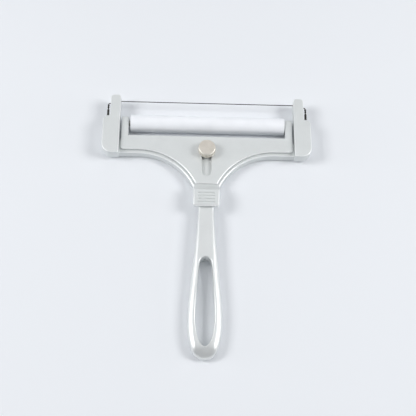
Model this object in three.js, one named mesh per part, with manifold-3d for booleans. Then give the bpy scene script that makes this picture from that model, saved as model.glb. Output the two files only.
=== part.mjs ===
// Hand-held cheese wire cutter with an adjustable roller, lying on its back.
//
// Millimetres, +X to the right arm, +Y from the grip towards the wire, +Z up from the table.
// The design places everything from the foot of the collar, where the grip enters the casting
// (y = 0), and the exported group is then shifted so that its origin is the bottom centre.

import * as THREE from "three";
import { mergeVertices } from "three/addons/utils/BufferGeometryUtils.js";
import Module from "manifold-3d";

const wasm = await Module();
wasm.setup();

// ---------------------------------------------------------------- driving dimensions

// Overall
const headWidth = 155;
const headLength = 89.45; // collar foot to arm tips
const handleLength = 109.05; // collar foot to the end of the grip

// Clearances
const fit = 0.1; // round a piece that sits in, or turns in, another piece
const seat = 0.1; // under a piece that rests on another piece
const slideGap = 0.3; // between the casting's face and the carrier that slides on it
const sideGap = 1.3; // between each arm and the carrier
const endFloat = 2.0; // what the roller can shift between the ears, in all
const rollerShift = 0.4; // how far the roller lies towards the right ear

// Arms of the casting
const armWidth = 12.45;
const armHeight = 13.5;
const armFoot = 41.3; // collar foot to the arms' lower ends
const armFootRadius = 7;
const armInnerFootRadius = 1;
const armEdge = 0.8;
const tipWidth = 7.45;
const tipRadius = 3;
const shoulderLevel = 71.75;
const shoulderRadius = 4;

// Crossbar of the casting
const barThickness = 7.9;
const barTopEdge = 54.65;
const rimLevel = 43.7; // lower rim of the bar beside the arms
const throatRadius = 45; // the sweep from the rim into the collar
const throatCentreX = 50.5;
const ledge = 2.1; // width of bar left showing outside the carrier
const barEdge = 0.5;

// Collar of the casting: a thin cap that overhangs the stem in which the grip is seated
const collarWidth = 18.7;
const collarHeight = 14;
const collarCorner = 1.6;
const capThickness = 2.8; // at the foot
const capEdge = 0.7;
const stemLap = 0.2; // how far the stem runs up into the cap
const stemFoot = 6; // collar foot to the stem's mouth
const rampTop = 12.5;
const rampFoot = 18.5;
const grooveCount = 4;
const groovePitch = 2.34;
const grooveLength = 12.4;
const grooveWidth = 0.9;
const grooveDepth = 0.5;
const firstGroove = 2.9;

// Grip: half-widths of its outline at shares of the handle's length, and of the loop through it
// at shares of the loop's length
const neckHalfWidth = 5.6;
const gripStations = [
  [0.041, 5.6],
  [0.177, 6.5],
  [0.282, 7.6],
  [0.452, 9.5],
  [0.618, 11.2],
  [0.748, 11.8],
  [0.863, 10.9],
  [0.951, 8.2],
  [0.989, 4.3],
];
const loopStart = 37.4; // collar foot to the loop
const loopEndWall = 8.7; // metal beyond the loop
const loopStations = [
  [0.016, 2.6],
  [0.059, 4.15],
  [0.215, 5.25],
  [0.497, 6.3],
  [0.719, 6.6],
  [0.87, 5.35],
  [0.965, 3.1],
];
const gripEdge = 2.0;
const gripCore = 1.0; // straight side left between the rounded edges before the grip is leaned
const gripUndersideNeck = 1.6;
const neckGap = 0.3; // between the neck and the cap over it
const gripTopEnd = 9.6;

// Tang and its pin
const tangWidth = 7.6;
const tangThickness = 6;
const tangLength = 11; // into the stem
const tangRoot = 3; // inside the grip
const tangPinRadius = 1.5;
const tangPinSetback = 6; // from the stem's mouth
const pinBite = 1.5; // how far the pin enters the cap

// Carrier
const plateThickness = 2.0;
const plateTopEdge = 57.4;
const plateCorner = 1.8;
const plateEdge = 0.35;
const tailGap = 0.3;
const earWidth = 5.1;
const earWall = 1.4; // metal over and under the axle
const earEndWall = 2.9; // metal beyond the axle
const earRound = 2.4;
const earFootRadius = 0.6;
const earEdge = 0.3;
const slotWidth = 7.1;
const slotLength = 24;
const slotEndToFoot = 25.4; // collar foot to the slot's lower end

// Roller
const rollerDiameter = 12.7;
const rollerFloorGap = 0.45;
const rollerGap = 4.95; // between the carrier's top edge and the roller
const rollerWall = 2.15;
const rollerEdge = 0.5;
const bushLength = 8;
const bushChamfer = 0.3;
const axleDiameter = 4;
const axleRecess = 0.6;

// Clamp screw
const studDiameter = 5;
const studCentre = 45.2;
const knobDiameter = 12.6;
const knobHeight = 5.3;
const knobChamfer = 0.5;
const knobRoof = 1.5;
const washerDiameter = 11.6;
const washerThickness = 1.0;
const washerChamfer = 0.15;
const nutFlats = 8;
const nutHeight = 4;
const studEndInset = 0.4;

// Wire
const wireDiameter = 0.6;
const wireInset = 3.4; // from the arm tips
const wireLevel = 9;
const wireHoleGap = 0.2;
const wireDrop = 1.75; // how far the wire falls towards the grip on its way through a tip
const tailOffset = 2.0; // from the tip's outer face to the tail's centre
const tailBend = 1.0;
const sleeveDiameter = 1.35;
const sleeveLength = 3.2;
const sleeveChamfer = 0.08;
const sleeveDrop = 0.1; // below the bend
const anchorDiameter = 1.7;
const anchorTop = 78.8;
const anchorDepth = 5; // into the shoulder
const anchorSocket = 4; // length of tail inside the anchor

// ---------------------------------------------------------------- derived places

const spanHalf = headWidth / 2 - armWidth;
const plateBottom = barThickness + slideGap;
const plateTop = plateBottom + plateThickness;
const throatCentreY = rimLevel - throatRadius;
const capUnderside = collarHeight - capThickness;
const gripTopNeck = capUnderside - neckGap;
const gripMouth = stemFoot - seat;
const carrierHalf = spanHalf - sideGap;
const earInner = carrierHalf - earWidth;
const rollerRadius = rollerDiameter / 2;
const axleRadius = axleDiameter / 2;
const rollerZ = rollerRadius + rollerFloorGap;
const rollerY = plateTopEdge + rollerGap + rollerRadius;
const earUnderside = rollerZ - axleRadius - earWall;
const earTop = Math.max(plateTop, rollerZ + axleRadius + earWall);
const rollerHalf = earInner - endFloat / 2;
const rollerBore = rollerRadius - rollerWall;
const studRadius = studDiameter / 2;
const washerBottom = plateTop + seat;
const knobBottom = washerBottom + washerThickness + seat;
const nutPocketRoof = nutHeight + 2 * seat;
const tangLow = (gripUndersideNeck + gripTopNeck - tangThickness) / 2;
const tangHigh = tangLow + tangThickness;
const tangEnd = stemFoot + tangLength;
const tangPinLevel = stemFoot + tangPinSetback;
const wireRadius = wireDiameter / 2;
const wireY = headLength - wireInset;
const tailX = spanHalf + tipWidth + tailOffset;
const wireSlant = Math.atan(wireDrop / tipWidth);
const bendTurn = Math.PI / 2 - wireSlant;
const bendX = tailX - tailBend;
const bendStart = bendX + tailBend * Math.cos(bendTurn);
const bendY = wireY - Math.tan(wireSlant) * (bendStart - spanHalf) - tailBend * Math.sin(bendTurn);
const sleeveTop = bendY - sleeveDrop;

// ---------------------------------------------------------------- geometry helpers

const roundSides = 32;
const smallSides = 20;
const wireSides = 16;

function toSolid(geometry) {
  const bare = geometry.clone();
  bare.deleteAttribute("normal");
  bare.deleteAttribute("uv");
  const merged = mergeVertices(bare, 1e-4);
  const mesh = new wasm.Mesh({
    numProp: 3,
    vertProperties: merged.attributes.position.array,
    triVerts: new Uint32Array(merged.index.array),
  });
  return new wasm.Manifold(mesh);
}

function toGeometry(solid) {
  const mesh = solid.getMesh();
  const geometry = new THREE.BufferGeometry();
  geometry.setAttribute("position", new THREE.BufferAttribute(mesh.vertProperties, 3));
  geometry.setIndex(new THREE.BufferAttribute(mesh.triVerts, 1));
  geometry.computeVertexNormals();
  return geometry;
}

// Joins the first geometry with the added ones, then cuts the removed ones from the whole.
function combine(first, added, removed = []) {
  const joined = added.reduce((solid, g) => solid.add(toSolid(g)), toSolid(first));
  return toGeometry(removed.reduce((solid, g) => solid.subtract(toSolid(g)), joined));
}

// Points of an arc about (cx, cy) from one angle to the other, both ends included.
function arc(cx, cy, radius, from, to, steps) {
  return Array.from({ length: steps + 1 }, (_, i) => {
    const angle = from + ((to - from) * i) / steps;
    return new THREE.Vector2(cx + radius * Math.cos(angle), cy + radius * Math.sin(angle));
  });
}

// A closed shape through [x, y, radius] corners, each rounded by an arc.
function roundedShape(corners, steps = 5) {
  const points = corners.flatMap(([x, y, radius], i) => {
    const corner = new THREE.Vector2(x, y);
    if (radius === 0) return [corner];
    const [bx, by] = corners.at(i - 1);
    const [ax, ay] = corners[(i + 1) % corners.length];
    const back = new THREE.Vector2(bx - x, by - y).normalize();
    const ahead = new THREE.Vector2(ax - x, ay - y).normalize();
    const half = Math.acos(back.dot(ahead)) / 2;
    const centre = back
      .clone()
      .add(ahead)
      .normalize()
      .multiplyScalar(radius / Math.sin(half))
      .add(corner);
    const start = back.multiplyScalar(radius / Math.tan(half)).add(corner).sub(centre).angle();
    const end = ahead.multiplyScalar(radius / Math.tan(half)).add(corner).sub(centre).angle();
    const turn = Math.atan2(Math.sin(end - start), Math.cos(end - start));
    return arc(centre.x, centre.y, radius, start, start + turn, steps);
  });
  return new THREE.Shape(points);
}

// A flat piece with the outline of a shape, from zLow to zHigh, its edges rounded by edge.
function slab(shape, zLow, zHigh, edge = 0, edgeSteps = 2) {
  return new THREE.ExtrudeGeometry(shape, {
    depth: zHigh - zLow - 2 * edge,
    bevelEnabled: edge > 0,
    bevelThickness: edge,
    bevelSize: edge,
    bevelOffset: -edge,
    bevelSegments: edgeSteps,
  }).translate(0, 0, zLow + edge);
}

// A piece whose side view, drawn in (y, z), is a shape, from xLow to xHigh.
function sideSlab(shape, xLow, xHigh, edge = 0) {
  const basis = new THREE.Matrix4().makeBasis(
    new THREE.Vector3(0, 1, 0),
    new THREE.Vector3(0, 0, 1),
    new THREE.Vector3(1, 0, 0),
  );
  return slab(shape, xLow, xHigh, edge).applyMatrix4(basis);
}

function block(xLow, xHigh, yLow, yHigh, zLow, zHigh) {
  return new THREE.BoxGeometry(xHigh - xLow, yHigh - yLow, zHigh - zLow).translate(
    (xLow + xHigh) / 2,
    (yLow + yHigh) / 2,
    (zLow + zHigh) / 2,
  );
}

// Solid turned about +Z from a profile of [radius, z] points that closes on the axis or on itself.
function turned(profile, sides = roundSides) {
  return new THREE.LatheGeometry(
    profile.map(([radius, z]) => new THREE.Vector2(radius, z)),
    sides,
  ).rotateX(Math.PI / 2);
}

// A plain rod along +Z.
function rod(radius, zLow, zHigh, sides = roundSides) {
  return turned([[0, zLow], [radius, zLow], [radius, zHigh], [0, zHigh]], sides);
}

// A ring along +Z whose four edges are chamfered.
function ring(outer, inner, zLow, zHigh, chamfer, sides = roundSides) {
  return turned(
    [
      [inner, zLow + chamfer],
      [inner + chamfer, zLow],
      [outer - chamfer, zLow],
      [outer, zLow + chamfer],
      [outer, zHigh - chamfer],
      [outer - chamfer, zHigh],
      [inner + chamfer, zHigh],
      [inner, zHigh - chamfer],
      [inner, zLow + chamfer],
    ],
    sides,
  );
}

const alongX = (geometry) => geometry.rotateY(Math.PI / 2);
const alongY = (geometry) => geometry.rotateX(-Math.PI / 2);

// ---------------------------------------------------------------- the casting

function armShape(side) {
  const inner = side * spanHalf;
  const outer = (side * headWidth) / 2;
  const tipOuter = side * (spanHalf + tipWidth);
  return roundedShape([
    [inner, armFoot, armInnerFootRadius],
    [outer, armFoot, armFootRadius],
    [outer, shoulderLevel, shoulderRadius],
    [tipOuter, shoulderLevel, 0],
    [tipOuter, headLength, tipRadius],
    [inner, headLength, tipRadius],
  ]);
}

// One side of the sweep that leaves the stem and runs out along the lower rim, as an offset
// outside the rim: points from one level to the other, the highest being where the rim is straight.
function throat(offset, lowest, highest = rimLevel + offset) {
  const radius = throatRadius + offset;
  const angleAt = (level) => Math.PI - Math.asin((level - throatCentreY) / radius);
  return arc(throatCentreX, throatCentreY, radius, angleAt(lowest), angleAt(highest), 14);
}

const mirrored = (points) => points.map((p) => new THREE.Vector2(-p.x, p.y)).reverse();

function barShape() {
  const reach = spanHalf + armWidth / 2;
  const right = [
    ...throat(0, stemFoot),
    new THREE.Vector2(reach, rimLevel),
    new THREE.Vector2(reach, barTopEdge),
  ];
  return new THREE.Shape([...right, ...mirrored(right)]);
}

// Level at which the sweep is as wide as the cap.
function capTail() {
  return throatCentreY + Math.sqrt(throatRadius ** 2 - (throatCentreX - collarWidth / 2) ** 2);
}

function cap() {
  const side = new THREE.Shape([
    new THREE.Vector2(0, capUnderside),
    new THREE.Vector2(stemFoot, capUnderside),
    new THREE.Vector2(capTail(), barThickness - stemLap),
    new THREE.Vector2(rampFoot, barThickness - stemLap),
    new THREE.Vector2(rampFoot, plateTop),
    new THREE.Vector2(rampTop, collarHeight),
    ...arc(collarCorner, collarHeight - collarCorner, collarCorner, Math.PI / 2, Math.PI, 4),
  ]);
  const plan = roundedShape([
    [-collarWidth / 2, 0, collarCorner],
    [collarWidth / 2, 0, collarCorner],
    [collarWidth / 2, rampFoot + 1, 0],
    [-collarWidth / 2, rampFoot + 1, 0],
  ]);
  const wedge = toSolid(sideSlab(side, -collarWidth / 2, collarWidth / 2, capEdge));
  return toGeometry(wedge.intersect(toSolid(slab(plan, 0, collarHeight + 1))));
}

function stem() {
  const right = throat(0, stemFoot, capTail());
  return slab(new THREE.Shape([...right, ...mirrored(right)]), barEdge, capUnderside + stemLap);
}

function grooves() {
  return Array.from({ length: grooveCount }, (_, i) => {
    const middle = firstGroove + i * groovePitch;
    return block(
      -grooveLength / 2,
      grooveLength / 2,
      middle - grooveWidth / 2,
      middle + grooveWidth / 2,
      collarHeight - grooveDepth,
      collarHeight + 1,
    );
  });
}

// The nut's hexagon, with two flats square to X, grown by a gap all round.
function hexagon(gap, zLow, zHigh) {
  const corner = (nutFlats / 2 + gap) / Math.cos(Math.PI / 6);
  return rod(corner, zLow, zHigh, 6).translate(0, studCentre, 0);
}

function wireHole(side) {
  const middle = side * (spanHalf + tipWidth / 2);
  return alongX(rod(wireRadius + wireHoleGap, -tipWidth / 2 - 1, tipWidth / 2 + 1, smallSides))
    .rotateZ(-side * wireSlant)
    .translate(middle, wireY - wireDrop / 2, wireLevel);
}

function anchorHole(side) {
  const bottom = shoulderAtTail() - anchorDepth - seat;
  return alongY(rod(anchorDiameter / 2 + fit, bottom, anchorTop, smallSides))
    .translate(side * tailX, 0, wireLevel);
}

// Level of the rounded shoulder where the anchor enters it.
function shoulderAtTail() {
  const past = Math.max(0, tailX - (headWidth / 2 - shoulderRadius));
  return shoulderLevel - shoulderRadius + Math.sqrt(shoulderRadius ** 2 - past ** 2);
}

function frame() {
  const socket = block(
    -tangWidth / 2 - fit,
    tangWidth / 2 + fit,
    stemFoot - 1,
    tangEnd + fit,
    tangLow - fit,
    tangHigh + fit,
  );
  const pinHole = rod(tangPinRadius + fit, -1, tangHigh + pinBite + 2 * fit, smallSides)
    .translate(0, tangPinLevel, 0);
  const studHole = rod(studRadius + fit, -1, barThickness + 1).translate(0, studCentre, 0);
  const arms = [-1, 1].map((side) => slab(armShape(side), 0, armHeight, armEdge));
  return combine(
    slab(barShape(), 0, barThickness, barEdge),
    [...arms, stem(), cap()],
    [
      socket,
      pinHole,
      studHole,
      hexagon(fit, -1, nutPocketRoof),
      ...grooves(),
      ...[-1, 1].flatMap((side) => [wireHole(side), anchorHole(side)]),
    ],
  );
}

// ---------------------------------------------------------------- the grip

function handle() {
  const loopLength = handleLength - loopStart - loopEndWall;
  const right = [
    new THREE.Vector2(neckHalfWidth, gripMouth),
    ...gripStations.map(([share, half]) => new THREE.Vector2(half, -share * handleLength)),
  ];
  const outline = new THREE.SplineCurve([
    ...right,
    new THREE.Vector2(0, -handleLength),
    ...mirrored(right),
  ]);
  const loopRight = loopStations.map(
    ([share, half]) => new THREE.Vector2(half, -loopStart - share * loopLength),
  );
  const loopOutline = new THREE.SplineCurve([
    new THREE.Vector2(0, -loopStart),
    ...loopRight,
    new THREE.Vector2(0, -loopStart - loopLength),
    ...mirrored(loopRight),
    new THREE.Vector2(0, -loopStart),
  ]);
  const shape = new THREE.Shape(outline.getSpacedPoints(72).reverse());
  shape.holes.push(new THREE.Path(loopOutline.getSpacedPoints(48).slice(1)));
  const thickness = gripCore + 2 * gripEdge;
  const grip = slab(shape, 0, thickness, gripEdge, 3);
  leanGrip(grip, thickness);
  const tangFoot = gripMouth - tangRoot;
  const tang = block(-tangWidth / 2, tangWidth / 2, tangFoot, tangEnd, tangLow, tangHigh);
  const pinHole = rod(tangPinRadius + fit, tangLow - 1, tangHigh + 1, smallSides)
    .translate(0, tangPinLevel, 0);
  return combine(grip, [tang], [pinHole]);
}

// Stretches the flat grip so that its underside falls from the neck to the table and its face
// falls to the height of the end, with its rounded edges kept.
function leanGrip(geometry, thickness) {
  const position = geometry.attributes.position;
  for (let i = 0; i < position.count; i++) {
    const share = Math.min(1, Math.max(0, -position.getY(i) / handleLength));
    const eased = share * share * (3 - 2 * share);
    const low = gripUndersideNeck * (1 - eased);
    const high = gripTopNeck + (gripTopEnd - gripTopNeck) * eased;
    const z = position.getZ(i);
    const moved = z < thickness / 2 ? low + z : high - (thickness - z);
    position.setZ(i, moved);
  }
}

function handlePin() {
  return rod(tangPinRadius, seat, tangHigh + pinBite, smallSides)
    .translate(0, tangPinLevel, 0);
}

// ---------------------------------------------------------------- the sliding carrier

function plateShape() {
  const tail = rampFoot + tailGap;
  const level = rimLevel + ledge;
  const corner = arc(carrierHalf - plateCorner, level + plateCorner, plateCorner, -Math.PI / 2, 0, 4);
  const right = [...throat(ledge, tail), ...corner, new THREE.Vector2(carrierHalf, plateTopEdge)];
  const shape = new THREE.Shape([...right, ...mirrored(right)]);
  const low = slotEndToFoot + slotWidth / 2;
  const high = slotEndToFoot + slotLength - slotWidth / 2;
  shape.holes.push(
    new THREE.Path([
      ...arc(0, low, slotWidth / 2, Math.PI, 2 * Math.PI, 10),
      ...arc(0, high, slotWidth / 2, 0, Math.PI, 10),
    ]),
  );
  return shape;
}

function ear(side) {
  const start = barTopEdge + sideGap / 2;
  const end = rollerY + axleRadius + earEndWall;
  const profile = roundedShape([
    [start, earUnderside, earFootRadius],
    [end, earUnderside, earRound],
    [end, earTop, earRound],
    [start, earTop, 0],
  ]);
  const from = side < 0 ? -carrierHalf : earInner;
  return sideSlab(profile, from, from + earWidth, earEdge);
}

function carrier() {
  const bore = alongX(rod(axleRadius + fit, -carrierHalf - 1, carrierHalf + 1, smallSides))
    .translate(0, rollerY, rollerZ);
  return combine(slab(plateShape(), plateBottom, plateTop, plateEdge), [ear(-1), ear(1)], [bore]);
}

function axle() {
  const half = carrierHalf - axleRecess;
  return alongX(rod(axleRadius, -half, half, smallSides)).translate(0, rollerY, rollerZ);
}

// ---------------------------------------------------------------- the roller

function roller() {
  return alongX(ring(rollerRadius, rollerBore, -rollerHalf, rollerHalf, rollerEdge))
    .translate(rollerShift, rollerY, rollerZ);
}

function bush(side) {
  const outerEnd = rollerHalf - rollerEdge;
  const middle = rollerShift + side * (outerEnd - bushLength / 2);
  return alongX(
    ring(
      rollerBore - fit,
      axleRadius + fit,
      -bushLength / 2,
      bushLength / 2,
      bushChamfer,
      smallSides,
    ),
  ).translate(middle, rollerY, rollerZ);
}

// ---------------------------------------------------------------- the clamp screw

function knob() {
  const radius = knobDiameter / 2;
  const top = knobBottom + knobHeight;
  const bore = studRadius + fit;
  return turned([
    [0, top - knobRoof],
    [bore, top - knobRoof],
    [bore, knobBottom],
    [radius - knobChamfer, knobBottom],
    [radius, knobBottom + knobChamfer],
    [radius, top - knobChamfer],
    [radius - knobChamfer, top],
    [0, top],
  ]).translate(0, studCentre, 0);
}

function washer() {
  return ring(
    washerDiameter / 2,
    studRadius + 2 * fit,
    washerBottom,
    washerBottom + washerThickness,
    washerChamfer,
  ).translate(0, studCentre, 0);
}

function stud() {
  return rod(studRadius, studEndInset, knobBottom + knobHeight - knobRoof - fit)
    .translate(0, studCentre, 0);
}

function nut() {
  const bottom = seat;
  const bore = rod(studRadius + fit, bottom - 1, bottom + nutHeight + 1).translate(0, studCentre, 0);
  return combine(hexagon(0, bottom, bottom + nutHeight), [], [bore]);
}

// ---------------------------------------------------------------- the wire

// A path whose stations are its own points, so that long straight runs need no extra rings.
class StationedPath extends THREE.CatmullRomCurve3 {
  getUtoTmapping(u) {
    return u;
  }
}

function wire() {
  const tailFoot = anchorTop - anchorSocket;
  const place = (p) => new THREE.Vector3(p.x, p.y, wireLevel);
  const right = [
    new THREE.Vector2(tailX, tailFoot),
    new THREE.Vector2(tailX, (tailFoot + bendY) / 2),
    ...arc(bendX, bendY, tailBend, 0, bendTurn, 6),
  ];
  const run = [spanHalf, 0, -spanHalf].map((x) => new THREE.Vector2(x, wireY));
  const points = [...right, ...run, ...mirrored(right)].map(place);
  const section = new THREE.Shape(arc(0, 0, wireRadius, 0, 2 * Math.PI, 10).slice(1));
  return new THREE.ExtrudeGeometry(section, {
    extrudePath: new StationedPath(points),
    steps: points.length - 1,
  });
}

function sleeve(side) {
  return alongY(
    ring(
      sleeveDiameter / 2,
      wireRadius + fit,
      sleeveTop - sleeveLength,
      sleeveTop,
      sleeveChamfer,
      wireSides,
    ),
  ).translate(side * tailX, 0, wireLevel);
}

function anchor(side) {
  const bottom = shoulderAtTail() - anchorDepth;
  const radius = anchorDiameter / 2;
  const bore = wireRadius + fit;
  const socket = anchorTop - anchorSocket - fit;
  return alongY(
    turned(
      [
        [0, bottom],
        [radius, bottom],
        [radius, anchorTop],
        [bore, anchorTop],
        [bore, socket],
        [0, socket],
      ],
      wireSides,
    ),
  ).translate(side * tailX, 0, wireLevel);
}

// ---------------------------------------------------------------- finishes and assembly

function finish(color, roughness, metalness) {
  return new THREE.MeshStandardMaterial({ color, roughness, metalness });
}

const castFinish = finish(0xc9cccc, 0.45, 0.6);
const gripFinish = finish(0xcdcfce, 0.38, 0.65);
const plasticFinish = finish(0xeef1f6, 0.35, 0);
const bushFinish = finish(0xd9dadc, 0.5, 0);
const steelFinish = finish(0x8d8b86, 0.3, 1);
const wireFinish = finish(0x7a7875, 0.25, 1);
const nickelFinish = finish(0xc8c0b2, 0.3, 0.9);

const group = new THREE.Group();

function add(name, geometry, material) {
  const mesh = new THREE.Mesh(geometry, material);
  mesh.name = name;
  group.add(mesh);
}

add("frame", frame(), castFinish);
add("handle", handle(), gripFinish);
add("handle_pin", handlePin(), steelFinish);
add("roller_carrier", carrier(), castFinish);
add("roller_axle", axle(), steelFinish);
add("roller", roller(), plasticFinish);
add("thumb_knob", knob(), nickelFinish);
add("clamp_washer", washer(), nickelFinish);
add("screw_stud", stud(), steelFinish);
add("captive_nut", nut(), steelFinish);
add("cutting_wire", wire(), wireFinish);
for (const [word, side] of [["left", -1], ["right", 1]]) {
  add(`roller_bush_${word}`, bush(side), bushFinish);
  add(`wire_sleeve_${word}`, sleeve(side), wireFinish);
  add(`wire_anchor_${word}`, anchor(side), steelFinish);
}

group.position.y = (handleLength - headLength) / 2;

export default group;
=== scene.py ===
"""Looks of a hand-held cheese wire cutter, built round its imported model.

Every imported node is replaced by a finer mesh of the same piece. The meshes are drawn in
millimetres from the collar's foot, where the grip enters the casting, with +X to the right arm,
+Y from the grip to the wire and +Z up from the table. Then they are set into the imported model's
own frame, which is in metres.
"""

import logging
import math
from collections.abc import Callable, Sequence
from dataclasses import dataclass, field
from enum import Enum

import bmesh
import bpy
from mathutils import Matrix, Vector
from mathutils.geometry import delaunay_2d_cdt


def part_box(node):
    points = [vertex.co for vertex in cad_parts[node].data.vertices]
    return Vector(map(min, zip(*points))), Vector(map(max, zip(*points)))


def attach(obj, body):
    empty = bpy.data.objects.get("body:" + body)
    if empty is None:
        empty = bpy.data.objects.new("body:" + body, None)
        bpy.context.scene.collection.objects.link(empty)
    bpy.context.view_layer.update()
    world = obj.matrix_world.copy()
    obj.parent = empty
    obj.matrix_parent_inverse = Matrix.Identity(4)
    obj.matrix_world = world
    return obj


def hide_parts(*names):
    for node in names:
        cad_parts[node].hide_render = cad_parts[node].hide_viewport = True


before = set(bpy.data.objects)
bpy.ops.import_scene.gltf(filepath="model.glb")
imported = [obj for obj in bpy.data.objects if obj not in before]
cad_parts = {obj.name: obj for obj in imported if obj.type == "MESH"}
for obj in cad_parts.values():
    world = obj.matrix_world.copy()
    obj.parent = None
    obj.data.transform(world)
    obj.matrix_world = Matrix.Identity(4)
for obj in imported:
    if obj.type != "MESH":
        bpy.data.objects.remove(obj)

LOG = logging.getLogger("wire_cutter")
MM = 0.001
QUARTER = math.pi / 2
Point = tuple[float, float]
Triple = tuple[float, float, float]
Mesh = bpy.types.Mesh
Socket = bpy.types.NodeSocket
Ring = list[bmesh.types.BMVert]


def arc(centre: Point, radius: float, start: float, end: float, steps: int) -> list[Point]:
    """Returns the points of an arc from one angle to another, in radians, both ends included."""
    angles = (start + (end - start) * i / steps for i in range(steps + 1))
    return [(centre[0] + radius * math.cos(a), centre[1] + radius * math.sin(a)) for a in angles]


def mirrored(points: Sequence[Point]) -> list[Point]:
    """Returns the points mirrored in the middle plane, in the opposite order."""
    return [(-x, y) for x, y in reversed(points)]


def clamped(value: float) -> float:
    """Returns a value held between 0 and 1."""
    return min(1.0, max(0.0, value))


def ease(value: float) -> float:
    """Returns a value from 0 to 1 eased at both ends."""
    held = clamped(value)
    return held * held * (3 - 2 * held)


def smooth_line(knots: Sequence[Point], per_span: int, closed: bool) -> list[Point]:
    """Runs a smooth line through knots.

    Args:
        knots: What the line passes through.
        per_span: How many points it gets from one knot to the next.
        closed: Whether it comes back to its first knot.

    Returns:
        The line's points. A closed line doesn't repeat its first point.
    """
    count = len(knots)

    def knot(i: int) -> Vector:
        """Returns a knot, going round a closed line and stopping at an open one's ends."""
        return Vector(knots[i % count] if closed else knots[min(max(i, 0), count - 1)])

    points: list[Point] = []
    for i in range(count if closed else count - 1):
        a, b, c, d = (knot(i + k) for k in (-1, 0, 1, 2))
        for step in range(per_span):
            t = step / per_span
            spot = 0.5 * (
                2 * b
                + (c - a) * t
                + (2 * a - 5 * b + 4 * c - d) * t**2
                + (3 * b - 3 * c + d - a) * t**3
            )
            points.append((spot.x, spot.y))
    return points if closed else [*points, tuple(knots[-1])]


def evenly(points: Sequence[Point], count: int) -> list[Point]:
    """Spaces a closed line's points evenly.

    Args:
        points: The line, without its first point repeated.
        count: How many points to return.

    Returns:
        The new points, the first where the line starts.
    """
    loop = [Vector(p) for p in points] + [Vector(points[0])]
    lengths = [(b - a).length for a, b in zip(loop, loop[1:])]
    step = sum(lengths) / count
    spaced: list[Point] = []
    passed, i = 0.0, 0
    for k in range(count):
        while passed + lengths[i] < k * step - 1e-9:
            passed += lengths[i]
            i += 1
        spot = loop[i].lerp(loop[i + 1], (k * step - passed) / lengths[i])
        spaced.append((spot.x, spot.y))
    return spaced


def within(spot: Vector, loop: Sequence[Vector]) -> bool:
    """Says whether a spot is inside a closed line.

    Args:
        spot: The spot.
        loop: The line's points.

    Returns:
        True if it is inside.
    """
    inside = False
    for i, after in enumerate(loop):
        before = loop[i - 1]
        if (before.y > spot.y) != (after.y > spot.y):
            cross = before.x + (spot.y - before.y) * (after.x - before.x) / (after.y - before.y)
            inside ^= spot.x < cross
    return inside


def inward(come: Vector, leave: Vector) -> Vector:
    """Returns how a corner moves when both its sides move one unit to their left."""
    return Vector((-come.y - leave.y, come.x + leave.x)) / (1 + come.dot(leave))


class Outline:
    """A closed line with metal on its left."""

    def ring(self, inset: float) -> list[Point]:
        """Returns the line's points moved into the metal by inset."""
        raise NotImplementedError


@dataclass(frozen=True)
class DrawnOutline(Outline):
    """An outline given by its points, without the first repeated."""

    points: tuple[Point, ...]

    def ring(self, inset: float | Callable[[Point], float]) -> list[Point]:
        """Moves the line into the metal.

        Args:
            inset: How far, or a function that says how far at a point.

        Returns:
            The moved points, one for each of the line's own.
        """
        spots = [Vector(p) for p in self.points]
        moved: list[Point] = []
        for before, here, after in zip([spots[-1], *spots], spots, [*spots[1:], spots[0]]):
            mitre = inward((here - before).normalized(), (after - here).normalized())
            amount = inset((here.x, here.y)) if callable(inset) else inset
            moved.append((here.x + mitre.x * amount, here.y + mitre.y * amount))
        return moved


@dataclass(frozen=True)
class CornerOutline(Outline):
    """An outline of straight sides with rounded corners.

    Attributes:
        corners: The corners as (x, y, radius).
        steps: How many straight pieces each corner has.
    """

    corners: tuple[Triple, ...]
    steps: int = 6

    SHARP = 0.02

    def ring(self, inset: float) -> list[Point]:
        """Moves the line into the metal.

        Args:
            inset: How far.

        Returns:
            The moved points.
        """
        count = len(self.corners)
        points: list[Point] = []
        for i, (x, y, radius) in enumerate(self.corners):
            here = Vector((x, y))
            come = (here - Vector(self.corners[i - 1][:2])).normalized()
            leave = (Vector(self.corners[(i + 1) % count][:2]) - here).normalized()
            here += inward(come, leave) * inset
            turn = math.atan2(come.cross(leave), come.dot(leave))
            rounding = max(self.SHARP, radius - inset if turn > 0 else radius + inset)
            start = here - come * (rounding * math.tan(abs(turn) / 2))
            centre = start + Vector((-come.y, come.x)) * math.copysign(rounding, turn)
            first = math.atan2(start.y - centre.y, start.x - centre.x)
            points += arc((centre.x, centre.y), rounding, first, first + turn, self.steps)
        return points


@dataclass(frozen=True)
class Edge:
    """The rounding between a wall and a face.

    Attributes:
        reach: How far it goes in over the face.
        drop: How far it goes along the wall.
        steps: How many flats it is made of.
    """

    reach: float
    drop: float
    steps: int = 5

    def stations(self) -> list[Point]:
        """Returns (inset, distance from the face) from the face to the wall."""
        angles = (QUARTER * i / self.steps for i in range(self.steps + 1))
        return [(self.reach * (1 - math.sin(a)), self.drop * (1 - math.cos(a))) for a in angles]

    def profile(self, low: float, high: float) -> list[Point]:
        """Returns (inset, level) up a wall that has this rounding at both ends."""
        foot = [(inset, low + rise) for inset, rise in self.stations()]
        return foot + [(inset, high - rise) for inset, rise in reversed(self.stations())]


CRISP = Edge(0.02, 0.02, 1)


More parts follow.
